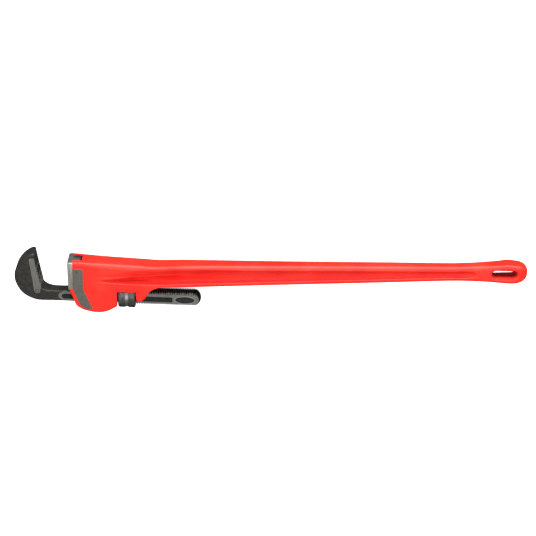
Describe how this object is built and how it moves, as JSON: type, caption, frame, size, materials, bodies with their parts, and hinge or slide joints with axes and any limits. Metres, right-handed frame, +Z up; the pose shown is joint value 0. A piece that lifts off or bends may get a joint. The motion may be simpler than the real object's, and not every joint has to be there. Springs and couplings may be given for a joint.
{
  "type": "pipe wrench",
  "caption": "Heavy straight pipe wrench: I-beam handle cast with its head, toothed heel jaw, threaded hook jaw moved by a knurled nut, lying on its side.",
  "frame": {"origin": "centre of the whole wrench's bounding box, on the plane that its lowest point lies on", "axes": "+X from the hook jaw to the handle's end along the screw thread, +Y towards the jaws' open side, +Z up out of the wrench's side"},
  "size_m": [1.3889, 0.1941, 0.069],
  "materials": {
    "red_paint": "gloss enamel over a ductile iron casting",
    "ground_steel": "ground and left bare",
    "dark_forging": "satin black oxide over a steel forging",
    "spring_steel": "tempered and oiled"
  },
  "bodies": {
    "handle": {"handle": "red_paint", "heel_jaw": "ground_steel", "heel_jaw_pin": "ground_steel", "spring_pin": "ground_steel", "coil_spring": "spring_steel"},
    "flat_spring": {"flat_spring": "spring_steel"},
    "adjusting_nut": {"adjusting_nut": "dark_forging"},
    "hook_jaw": {"hook_jaw": "dark_forging"}
  },
  "joints": [
    {"name": "jaw_rock", "type": "hinge", "parent": "handle", "child": "flat_spring", "pos_m": [-0.3915, -0.0517, 0.0345], "axis": [0, 0, 1], "range_deg": [-1, 2], "stiffness_Nm_per_rad": 60, "deforming": ["coil_spring"]},
    {"name": "nut_spin", "type": "hinge", "parent": "flat_spring", "child": "adjusting_nut", "pos_m": [-0.3915, -0.0517, 0.0345], "axis": [1, 0, 0], "range_deg": [-3240, 7560]},
    {"name": "jaw_slide", "type": "slide", "parent": "flat_spring", "child": "hook_jaw", "axis": [1, 0, 0], "range_m": [-0.1334, 0.0572]}
  ],
  "couplings": [
    {"joint": "jaw_slide", "follows": "nut_spin", "m_per_rad": -0.0010106}
  ]
}
